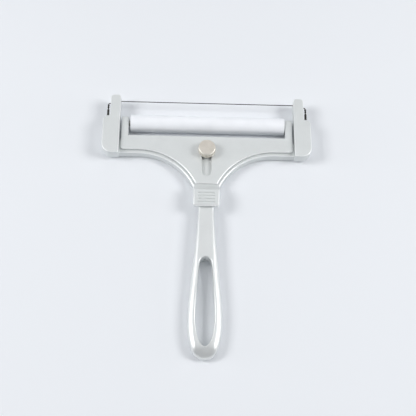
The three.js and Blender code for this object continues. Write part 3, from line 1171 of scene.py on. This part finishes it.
@dataclass
class Grip(Assembly):
    """The looped handle, its tang in the casting and the pin that holds it.

    Attributes:
        pin_finish: What the pin is made of.
        stations: Half widths of the grip at shares of its length.
        loop_stations: Half widths of the loop at shares of the loop's length.
        length: How far the grip runs out of the collar, once it is built.
    """

    pin_finish: Finish
    mouth: float = 5.9
    neck_half: float = 5.6
    stations: tuple[Point, ...] = (
        (0.041, 5.6), (0.177, 6.5), (0.282, 7.6), (0.452, 9.5), (0.618, 11.2),
        (0.748, 11.8), (0.863, 10.9), (0.951, 8.2), (0.989, 4.3),
    )
    loop_start: float = 37.4
    loop_end_wall: float = 8.7
    loop_stations: tuple[Point, ...] = (
        (0.016, 2.6), (0.059, 4.15), (0.215, 5.25), (0.497, 6.3), (0.719, 6.6),
        (0.87, 5.35), (0.965, 3.1),
    )
    underside_neck: float = 1.6
    top_neck: float = 10.9
    top_end: float = 9.6
    reaches: Triple = (1.7, 4.4, 1.5)  # of the top's rounding at the neck, loop and end
    drops: Triple = (1.5, 3.4, 1.2)
    end_fall: float = 4.6
    under_neck: float = 2.0
    under_end: float = 3.6
    under_extra: float = 0.6
    loop_edge: float = 0.8
    tang_low: float = 3.25
    tang_high: float = 9.25
    flats: int = 10
    grid: float = 1.6
    grid_half: float = 12.0
    length: float = 0.0

    def ending(self, y: float) -> float:
        """Returns how far a level is into the end beyond the loop, from 0 to 1."""
        reach = self.loop_end_wall * 1.3
        return clamped((reach - self.length - y) / reach)

    def faces(self, y: float) -> Point:
        """Returns the levels of the grip's underside and top at a distance along it."""
        eased = ease(clamped(-y / self.length))
        top = self.top_neck + (self.top_end - self.top_neck) * eased
        return self.underside_neck * (1 - eased), top - self.end_fall * self.ending(y) ** 2

    def under(self, y: float) -> float:
        """Returns the rounding of the underside at a distance along the grip."""
        return self.under_neck + (self.under_end - self.under_neck) * ease(self.ending(y))

    def grown(self, y: float, sizes: Triple) -> float:
        """Returns a rounding between the neck's, the loop's and the end's."""
        swell = ease((clamped(-y / self.length) - 0.08) / 0.42)
        along = sizes[0] + (sizes[1] - sizes[0]) * swell
        return along + (sizes[2] - along) * ease(self.ending(y))

    def outlines(self) -> tuple[DrawnOutline, DrawnOutline]:
        """Draws the grip and its loop.

        Returns:
            The grip's outline and the loop's, both with metal on their left.
        """
        side = [(half, -share * self.length) for share, half in self.stations]
        right = [(self.neck_half, self.mouth), *side]
        line = smooth_line([*right, (0.0, -self.length), *mirrored(right)], 16, False)
        outer = evenly(line, 220)[::-1]
        span = self.length - self.loop_start - self.loop_end_wall
        loop = [(half, -self.loop_start - share * span) for share, half in self.loop_stations]
        knots = [(0.0, -self.loop_start), *loop, (0.0, -self.loop_start - span), *mirrored(loop)]
        inner = evenly(smooth_line(knots, 16, True), 150)
        return DrawnOutline(tuple(outer)), DrawnOutline(tuple(inner))

    def body(self) -> Mesh:
        """Makes the grip without its tang.

        Returns:
            The grip.
        """
        solid = Solid()

        def sides(line: DrawnOutline, reaches: Triple, drops: Triple) -> tuple[Ring, Ring]:
            """Makes the walls of an outline and returns their lowest and highest rings."""
            lines = []
            for angle in (QUARTER * i / 5 for i in range(6)):
                into, rise = 1 - math.sin(angle), 1 - math.cos(angle)
                spots = line.ring(
                    lambda p: into
                    * min(self.under(p[1]), self.grown(p[1], reaches) + self.under_extra)
                )
                lines.append([(x, y, self.faces(y)[0] + self.under(y) * rise) for x, y in spots])
            for angle in (QUARTER * (1 - i / self.flats) for i in range(self.flats + 1)):
                into, rise = 1 - math.sin(angle), 1 - math.cos(angle)
                spots = line.ring(lambda p: into * self.grown(p[1], reaches))
                lines.append(
                    [(x, y, self.faces(y)[1] - self.grown(y, drops) * rise) for x, y in spots]
                )
            rings = solid.walls(lines)
            return rings[0], rings[-1]

        outer, inner = self.outlines()
        outside = sides(outer, self.reaches, self.drops)
        inside = sides(inner, (self.loop_edge,) * 3, (self.loop_edge,) * 3)
        for level in (0, 1):
            self.cover(solid, outside[level], inside[level], level)
        return solid.done()

    def cover(self, solid: Solid, outside: Ring, inside: Ring, level: int) -> None:
        """Covers the grip's top or underside between its rings.

        Args:
            solid: The grip.
            outside: The outer ring.
            inside: The loop's ring.
            level: 0 for the underside and 1 for the top.
        """
        rim = [*outside, *inside]
        spots = [Vector((v.co.x, v.co.y)) for v in rim]
        first, second = len(outside), len(inside)
        edges = [(i, (i + 1) % first) for i in range(first)]
        edges += [(first + i, first + (i + 1) % second) for i in range(second)]

        def on_metal(spot: Vector) -> bool:
            """Says whether a spot is between the rings."""
            return within(spot, spots[:first]) and not within(spot, spots[first:])

        extra = []
        y = -self.length
        while y < self.mouth:
            x = -self.grid_half
            while x <= self.grid_half:
                spot = Vector((x, y))
                if on_metal(spot) and min((spot - s).length for s in spots) > self.grid * 0.6:
                    extra.append(spot)
                x += self.grid
            y += self.grid
        verts, _, faces, origins, _, _ = delaunay_2d_cdt(spots + extra, edges, [], 0, 1e-5)
        corners = []
        for spot, origin in zip(verts, origins):
            if origin and origin[0] < len(rim):
                corners.append(rim[origin[0]])
            else:
                z = self.faces(spot.y)[level]
                corners.append(solid.mesh.verts.new((spot.x, spot.y, z)))
        for face in faces:
            if on_metal(sum((verts[i] for i in face), Vector((0, 0))) / len(face)):
                solid.mesh.faces.new([corners[i] for i in face])
        loose = [v for v in solid.mesh.verts if not v.link_faces]
        bmesh.ops.delete(solid.mesh, geom=loose, context="VERTS")

    def build(self) -> None:
        """Builds the grip and its pin and sets them down."""
        whole, pin = self.bench.extent("handle"), self.bench.extent("handle_pin")
        self.length = -whole.low.y
        plan = upright(SHARED.tang_half, self.mouth - 3, whole.high.y, 0, 0.8)
        edge = Edge(0.5, 0.5, 3)
        tang = slab(plan, self.tang_low, self.tang_high, edge, edge)
        hole = rod(pin.size.x / 2 + SHARED.fit, self.tang_low - 1, self.tang_high + 1, 0.02)
        hole = placed(hole, 0, pin.middle.y, 0)
        data = combine(self.body(), [(Operation.JOIN, tang), (Operation.CUT, hole)])
        self.bench.set_down("grip", data, self.finish, Body.MAIN, ["handle"], 40)
        peg = placed(rod(pin.size.x / 2, pin.low.z, pin.high.z, 0.35), 0, pin.middle.y, 0)
        self.bench.set_down("grip_pin", peg, self.pin_finish, Body.MAIN, ["handle_pin"])


@dataclass
class Carrier(Assembly):
    """The sliding plate with two ears, and the axle between them.

    Attributes:
        axle_finish: What the axle is made of.
    """

    axle_finish: Finish
    bottom: float = 8.2
    thickness: float = 2.0
    top_edge: float = 57.4
    corner: float = 1.8
    ledge: float = 2.1
    slot_width: float = 7.1
    slot_length: float = 24.0
    slot_foot: float = 25.4
    ear_width: float = 5.1
    ear_root: float = 55.3
    ear_round: float = 2.6
    over: Edge = Edge(0.8, 0.65)
    under: Edge = Edge(0.3, 0.3, 2)
    slot_edge: Edge = Edge(0.3, 0.3, 3)
    ear_edge: Edge = Edge(0.4, 0.35)

    def plate(self, box: Extent) -> Mesh:
        """Makes the plate with its slot.

        Args:
            box: The carrier's box.

        Returns:
            The plate.
        """
        radius, centre = SHARED.throat_radius + self.ledge, SHARED.throat
        half, corner = box.high.x, self.corner
        start = math.pi - math.asin((box.low.y - centre[1]) / radius)
        level = SHARED.rim_level + self.ledge
        right = arc(centre, radius, start, QUARTER, 44)
        right += arc((half - corner, level + corner), corner, -QUARTER, 0, 6)
        right += [(half, self.top_edge)]
        outline = DrawnOutline((*right, *mirrored(right)))
        wide = self.slot_width / 2
        low, high = self.slot_foot + wide, self.slot_foot + self.slot_length - wide
        hole = arc((0, low), wide, 2 * math.pi, math.pi, 20)
        hole += arc((0, high), wide, math.pi, 0, 20)
        holes, top = [DrawnOutline(tuple(hole))], self.bottom + self.thickness
        return slab(outline, self.bottom, top, self.under, self.over, holes, self.slot_edge)

    def ear(self, side: int, box: Extent) -> Mesh:
        """Makes an ear.

        Args:
            side: -1 for the left ear and 1 for the right one.
            box: The carrier's box.

        Returns:
            The ear.
        """
        root, end, low, high = self.ear_root, box.high.y, box.low.z, box.high.z
        corners = ((root, low, 0.6), (end, low, self.ear_round), (end, high, self.ear_round))
        profile = CornerOutline((*corners, (root, high, 0.3)), 8)
        ends = sorted((side * (box.high.x - self.ear_width), side * box.high.x))
        return side_slab(profile, *ends, self.ear_edge)

    def build(self) -> None:
        """Builds the plate and the axle and sets them down."""
        box, axle = self.bench.extent("roller_carrier"), self.bench.extent("roller_axle")
        radius, spot = axle.size.z / 2, (0, axle.middle.y, axle.middle.z)
        bore = rod(radius + SHARED.fit, -box.high.x - 1, box.high.x + 1, 0.02)
        steps = [(Operation.JOIN, self.ear(side, box)) for side in SIDES]
        steps.append((Operation.CUT, placed(bore, *spot, Along.X)))
        data = combine(self.plate(box), steps)
        self.bench.set_down("carrier_plate", data, self.finish, Body.CARRIER, ["roller_carrier"])
        shaft = placed(rod(radius, axle.low.x, axle.high.x, 0.4), *spot, Along.X)
        self.bench.set_down("axle", shaft, self.axle_finish, Body.CARRIER, ["roller_axle"])


@dataclass
class Roller(Assembly):
    """The tube that rolls along the cheese, with a bush pressed into each end.

    Attributes:
        bush_finish: What the bushes are made of.
    """

    bush_finish: Finish
    wall: float = 2.15
    end_edge: float = 0.55
    bush_edge: float = 0.35

    def build(self) -> None:
        """Builds the roller and its bushes and sets them down."""
        tube, axle = self.bench.extent("roller"), self.bench.extent("roller_axle")
        radius, half = tube.size.z / 2, tube.size.x / 2
        bore = radius - self.wall
        data = collar_ring(radius, bore, -half, half, self.end_edge, 96)
        data = placed(data, *tube.middle, Along.X)
        self.bench.set_down("roller_tube", data, self.finish, Body.ROLLER, ["roller"])
        for word in SIDES.values():
            box = self.bench.extent(f"roller_bush_{word}")
            inner, half = axle.size.z / 2 + SHARED.fit, box.size.x / 2
            ring = collar_ring(bore - SHARED.fit, inner, -half, half, self.bush_edge)
            ring = placed(ring, *box.middle, Along.X)
            nodes = [f"roller_bush_{word}"]
            self.bench.set_down(f"bush_{word}", ring, self.bush_finish, Body.ROLLER, nodes)


@dataclass
class ClampScrew(Assembly):
    """The thumb knob, its washer, the threaded stud and the nut let into the casting's back.

    Attributes:
        bare: What the stud and the nut are made of.
    """

    bare: Finish
    teeth: int = 30
    tooth_depth: float = 0.42
    flats_per_tooth: int = 6
    pitch: float = 0.8
    flats_per_turn: int = 8
    thread_depth: float = 0.42
    chamfer: float = 0.6
    roof: float = 1.5
    countersink: float = 1.4

    def knob(self, box: Extent, bore: float) -> Mesh:
        """Makes the knurled knob.

        Args:
            box: The knob's box.
            bore: The radius of the hole for the stud.

        Returns:
            The knob, standing on the axis.
        """
        radius = box.size.x / 2
        low, high = box.low.z, box.high.z

        def tooth(r: float, z: float, angle: float) -> float:
            """Returns the radius with the knurl cut into the side."""
            if r < radius - 0.05:
                return r
            wave = abs(math.sin(self.teeth * angle / 2)) ** 0.8
            return r - self.tooth_depth * (1 - wave)

        inside = [(0, high - self.roof), (bore, high - self.roof), (bore, low + 0.3)]
        foot = [(0.9, 0), (0.62, 0.08), (0.5, 0.3), (0, 0.72), (0, 2.2)]
        brow = [(0, 2.2), (0, 0.6), (0.24, 0.3), (0.34, 0.08), (0.48, 0), (2.2, 0)]
        profile = [*inside, (bore + 0.3, low)]
        profile += [(radius - inset, low + rise) for inset, rise in foot]
        profile += [(radius - inset, high - fall) for inset, fall in brow]
        profile += [(1.2, high), (0, high)]
        return turned(profile, self.teeth * self.flats_per_tooth, tooth)

    def stud(self, box: Extent) -> Mesh:
        """Makes the threaded stud.

        Args:
            box: The stud's box.

        Returns:
            The stud, standing on the axis.
        """
        radius, low, high = box.size.x / 2, box.low.z, box.high.z
        count = round(box.size.z / self.pitch * self.flats_per_turn)
        profile = [(radius, low + box.size.z * i / count) for i in range(count + 1)]

        def crest(r: float, z: float, angle: float) -> float:
            """Returns the thread's radius at a spot."""
            phase = (z / self.pitch - angle / (2 * math.pi)) % 1
            depth = self.thread_depth * clamped(1.35 * (1 - abs(2 * phase - 1)) - 0.15)
            return min(r - depth, r - self.chamfer + min(z - low, high - z))

        return turned([(0, low), *profile, (0, high)], 40, crest)

    def nut(self, box: Extent, bore: float) -> Mesh:
        """Makes the nut with its corners turned off at both ends.

        Args:
            box: The nut's box.
            bore: The radius of its hole.

        Returns:
            The nut, standing on the axis.
        """
        half, low, high = box.size.x / 2, box.low.z, box.high.z
        flat, wide, sunk = half * 0.97, half / math.cos(math.pi / 6) + 0.4, bore + self.countersink
        rise = (wide - flat) * math.tan(math.radians(30))
        cone = [(0, low - 0.01), (flat, low - 0.01), (wide, low + rise)]
        cone += [(wide, high - rise), (flat, high + 0.01), (0, high + 0.01)]
        hole = [(0, low - 1), (sunk, low - 1), (bore, low + 0.4)]
        hole += [(bore, high - 0.4), (sunk, high + 1), (0, high + 1)]
        steps = [(Operation.TRIM, turned(cone, 96)), (Operation.CUT, turned(hole, 48))]
        return combine(hexagon(half, low, high), steps)

    def build(self) -> None:
        """Builds the four pieces and sets them down."""
        bench = self.bench
        nodes = ("thumb_knob", "screw_stud", "clamp_washer", "captive_nut")
        knob, stud, washer, nut = (bench.extent(node) for node in nodes)
        bore, y = stud.size.x / 2 + SHARED.fit, stud.middle.y
        data = placed(self.knob(knob, bore), 0, y, 0)
        bench.set_down("knob", data, self.finish, Body.SCREW, ["thumb_knob"], 28)
        data = placed(self.stud(stud), 0, y, 0)
        bench.set_down("stud", data, self.bare, Body.SCREW, ["screw_stud"], 50)
        radius, low, high = washer.size.x / 2, washer.low.z, washer.high.z
        data = placed(collar_ring(radius, bore + SHARED.fit, low, high, 0.2, 96), 0, y, 0)
        bench.set_down("washer", data, self.finish, Body.CLAMP, ["clamp_washer"])
        data = placed(self.nut(nut, bore), 0, nut.middle.y, 0)
        bench.set_down("nut", data, self.bare, Body.MAIN, ["captive_nut"])


@dataclass
class CuttingWire(Assembly):
    """The wire between the arms, its two crimped sleeves and the two pins that anchor it.

    Attributes:
        anchor_finish: What the anchors are made of.
    """

    anchor_finish: Finish
    bend: float = 1.0
    tail: float = 4.0
    crimp: float = 0.2
    sleeve_lip: float = 0.1
    anchor_chamfer: float = 0.2
    anchor_mouth: Edge = Edge(0.25, 0.3, 4)

    def build(self) -> None:
        """Builds the wire, the sleeves and the anchors and sets them down."""
        box, head = self.bench.extent("cutting_wire"), self.bench.extent("frame")
        radius, fall = box.size.z / 2, math.tan(SHARED.slant)
        tail_x, top = box.high.x - radius, box.high.y - radius
        inner = head.high.x - SHARED.arm_width
        turn = QUARTER - SHARED.slant
        centre_x = tail_x - self.bend
        start = centre_x + self.bend * math.cos(turn)
        centre_y = top - fall * (start - inner) - self.bend * math.sin(turn)
        right = [(tail_x, box.low.y), (tail_x, (box.low.y + centre_y) / 2)]
        right += arc((centre_x, centre_y), self.bend, 0, turn, 14)
        right.append(((start + inner) / 2, top - fall * (start - inner) / 2))
        span = [(inner * k / 8, top) for k in range(8, -9, -1)]
        path = [Vector((x, y, box.middle.z)) for x, y in [*right, *span, *mirrored(right)]]
        data = swept(path, radius, 20)
        self.bench.set_down("wire", data, self.finish, Body.MAIN, ["cutting_wire"], 60)
        for word in SIDES.values():
            self.sleeve(word, radius + SHARED.fit)
            self.anchor(word, radius + SHARED.fit)

    def sleeve(self, word: str, bore: float) -> None:
        """Builds a crimped sleeve.

        Args:
            word: Which side it is on.
            bore: The radius of its hole.
        """
        box = self.bench.extent(f"wire_sleeve_{word}")
        radius, half, lip = box.size.z / 2, box.size.y / 2, self.sleeve_lip

        def pressed(r: float, z: float, angle: float) -> float:
            """Returns the radius with the crimps pressed into two sides."""
            if r < radius - 0.12:
                return r
            bite = max(0.0, math.cos(2 * math.pi * z / box.size.y * 1.5)) ** 2
            return r - self.crimp * bite * abs(math.cos(angle)) ** 3

        run = box.size.y - 2 * lip
        outer = [(radius - lip, -half), (radius, -half + lip)]
        outer += [(radius, -half + lip + run * i / 24) for i in range(1, 24)]
        outer += [(radius, half - lip), (radius - lip, half)]
        data = turned([(bore, -half), *outer, (bore, half)], 32, pressed)
        data = placed(data, *box.middle, Along.Y)
        nodes = [f"wire_sleeve_{word}"]
        self.bench.set_down(f"sleeve_{word}", data, self.finish, Body.MAIN, nodes, 50)

    def anchor(self, word: str, bore: float) -> None:
        """Builds an anchor pin, its mouth rounded where the wire enters.

        Args:
            word: Which side it is on.
            bore: The radius of its hole.
        """
        box = self.bench.extent(f"wire_anchor_{word}")
        radius, low, high, cut = box.size.z / 2, box.low.y, box.high.y, self.anchor_chamfer
        mouth = reversed(self.anchor_mouth.stations())
        floor = high - self.tail - 0.1
        profile = [(0, low), (radius - cut, low), (radius, low + cut)]
        profile += [(radius - inset, high - rise) for inset, rise in mouth]
        profile += [(bore, high - 0.05), (bore, floor), (0, floor)]
        data = placed(turned(profile, 32), box.middle.x, 0, box.middle.z, Along.Y)
        nodes = [f"wire_anchor_{word}"]
        self.bench.set_down(f"anchor_{word}", data, self.anchor_finish, Body.MAIN, nodes)


@dataclass(frozen=True)
class Softbox:
    """A soft rectangular light that points at the middle of the cutter.

    Attributes:
        name: Its name.
        place: Where it stands, in metres.
        size: Its width and height, in metres.
        power: Its power in watts.
    """

    name: str
    place: Triple
    size: Point
    power: float

    def light(self) -> None:
        """Adds the light."""
        data = bpy.data.lights.new(self.name, "AREA")
        data.shape = "RECTANGLE"
        data.size, data.size_y = self.size
        data.energy = self.power
        lamp = linked(self.name, data)
        lamp.location = self.place
        lamp.rotation_euler = (-Vector(self.place)).to_track_quat("-Z", "Y").to_euler()


@dataclass
class Studio:
    """The floor, the lights and the camera.

    Attributes:
        fade: Where the surround is dimmest and brightest, as shares towards +Y.
        tilt: The camera's tilt from straight above, in degrees, as its azimuth and roll are.
        floor_level: Just under the cutter, in metres.
    """

    floor_colour: Triple = (0.84, 0.86, 0.89)
    floor_half: float = 1.6
    floor_level: float = -0.00004
    sky: Triple = (0.80, 0.83, 0.88)
    sky_strength: float = 0.36
    dim_strength: float = 0.14
    fade: Point = (-0.9, 0.1)
    horizon_strength: float = 0.7
    horizon_top: float = 0.16
    tilt: float = 22.716
    azimuth: float = -4.134
    roll: float = -5.06
    distance: float = 0.6
    focal_length: float = 71.02
    target: Triple = (0.001605, 0.0137, 0.0)
    lights: tuple[Softbox, ...] = (
        Softbox("side_left", (-0.92, 0, 0.92), (0.5, 0.5), 7.3),
        Softbox("side_right", (0.92, 0, 0.92), (0.5, 0.5), 7.3),
        Softbox("low_left", (-1.256, 0, 0.336), (0.5, 0.5), 1.96),
        Softbox("low_right", (1.256, 0, 0.336), (0.5, 0.5), 1.96),
        Softbox("front", (0, -1.27, 0.27), (1.0, 0.3), 1.2),
        Softbox("back", (0, 1.0, 0.83), (0.5, 0.5), 0.6),
        Softbox("high", (0, 0.42, 1.23), (0.9, 0.9), 1.2),
    )

    def floor(self) -> None:
        """Lays a plain pale floor."""
        material = bpy.data.materials.new("studio_floor")
        canvas = Canvas(material, "Object", "Principled BSDF")
        cloud = canvas.spread(canvas.noise(3, 2), 0.3, 0.7, 0.0, 1.0)
        near = tuple(c * 0.995 for c in self.floor_colour)
        colour = canvas.mixed(cloud, near, self.floor_colour)
        canvas.paint(Base_Color=colour, Roughness=0.9, Specular_IOR_Level=0.1)
        solid = Solid()
        spots = ((-1, -1), (1, -1), (1, 1), (-1, 1))
        half, level = self.floor_half, self.floor_level
        corners = [solid.mesh.verts.new((x * half, y * half, level)) for x, y in spots]
        solid.mesh.faces.new(corners)
        data = solid.done()
        data.materials.append(material)
        floor = linked("studio_floor", data)

    def surroundings(self) -> None:
        """Sets a pale surround, dimmer beyond the grip and brighter at the horizon."""
        world = bpy.data.worlds.new("studio_surround")
        canvas = Canvas(world, "Generated", "Background")
        axes = canvas.add("ShaderNodeSeparateXYZ", canvas.place).outputs
        fade = canvas.spread(axes["Y"], *self.fade, self.dim_strength, self.sky_strength)
        glow = canvas.spread(axes["Z"], 0.0, self.horizon_top, self.horizon_strength, 0.0)
        canvas.paint(Color=self.sky, Strength=canvas.math("ADD", fade, glow))
        scene = bpy.context.scene
        scene.world = world
        scene.view_settings.view_transform = "Standard"
        scene.view_settings.look = "None"

    def camera(self) -> None:
        """Sets up the camera, held slightly rolled above the grip's end."""
        tilt, azimuth, roll = (math.radians(a) for a in (self.tilt, self.azimuth, self.roll))
        level = Vector((math.cos(azimuth), math.sin(azimuth), 0))
        ahead = Vector((math.sin(azimuth), -math.cos(azimuth), 0))
        back = ahead * math.sin(tilt) + Vector((0, 0, math.cos(tilt)))
        up = back.cross(level)
        right = level * math.cos(roll) - up * math.sin(roll)
        above = level * math.sin(roll) + up * math.cos(roll)
        data = bpy.data.cameras.new("camera")
        data.lens = self.focal_length
        data.sensor_width = 36.0
        data.clip_start = 0.01
        camera = linked("camera", data)
        axes = Matrix((right, above, back)).transposed().to_4x4()
        camera.matrix_world = Matrix.Translation(Vector(self.target) + back * self.distance) @ axes
        bpy.context.scene.camera = camera

    def build(self) -> None:
        """Builds the whole studio."""
        self.camera()
        self.floor()
        self.surroundings()
        for softbox in self.lights:
            softbox.light()


def main() -> None:
    """Builds the cutter and its studio, piece by piece."""
    logging.basicConfig(level=logging.INFO, format="%(name)s: %(message)s")
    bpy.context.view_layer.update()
    bench = Bench(foot=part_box("frame")[0].y)
    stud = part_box("screw_stud")
    axis = ((stud[0].x + stud[1].x) / 2, (stud[0].y + stud[1].y) / 2)
    # The casting's second colour is its painted edge highlight; the grip gets none.
    cast = BlastedCasting(
        "blasted_casting", Slot.CAST, (0.76, 0.785, 0.78), (0.96, 0.97, 0.97), 0.5,
        metal=0.4, grain=3200, grain_depth=9e-6, ripple_depth=1.2e-5, edge_highlight=1.0,
    )
    satin = BlastedCasting(
        "satin_grip", Slot.GRIP, (0.83, 0.85, 0.845), (0.86, 0.88, 0.88), 0.42,
        metal=0.6, grain=4200, grain_depth=4e-6, ripple_depth=1.6e-5, edge_highlight=0.0,
    )
    white = MouldedPlastic(
        "white_roller", Slot.WHITE, (0.94, 0.96, 0.995), (0.90, 0.92, 0.955), 0.35,
        scratch=(120, 2600, 2600), scratch_depth=2e-6, coat=0.3,
    )
    bush = MouldedPlastic(
        "bush_plastic", Slot.BUSH, (0.70, 0.72, 0.74), (0.62, 0.64, 0.66), 0.5,
        scratch=(900, 900, 900), scratch_depth=3e-6, coat=0.0,
    )
    steel = DrawnSteel(
        "bare_steel", Slot.STEEL, (0.50, 0.49, 0.47), (0.33, 0.32, 0.30), 0.32,
        lines=(120, 4200, 4200), line_depth=3e-6,
    )
    wire = DrawnSteel(
        "drawn_wire", Slot.WIRE, (0.065, 0.06, 0.055), (0.04, 0.037, 0.035), 0.35,
        lines=(90, 5200, 5200),
    )
    # Near-black steel for the wire anchors.
    near_black_steel = DrawnSteel(
        "dark_steel", Slot.STEEL, (0.09, 0.085, 0.08), (0.05, 0.047, 0.045), 0.35,
        lines=(900, 900, 4200),
    )
    # The knob's edge colour is a painted highlight.
    nickel = TurnedNickel(
        "turned_nickel", Slot.NICKEL, (0.82, 0.77, 0.69), (0.66, 0.61, 0.53), 0.4,
        highlight_colour=(0.92, 0.88, 0.80), axis=axis,
    )
    for assembly in (
        Casting(bench, cast),
        Grip(bench, satin, steel),
        Carrier(bench, cast, steel),
        Roller(bench, white, bush),
        ClampScrew(bench, nickel, steel),
        CuttingWire(bench, wire, near_black_steel),
        Studio(),
    ):
        assembly.build()


if __name__ == "__main__":
    main()
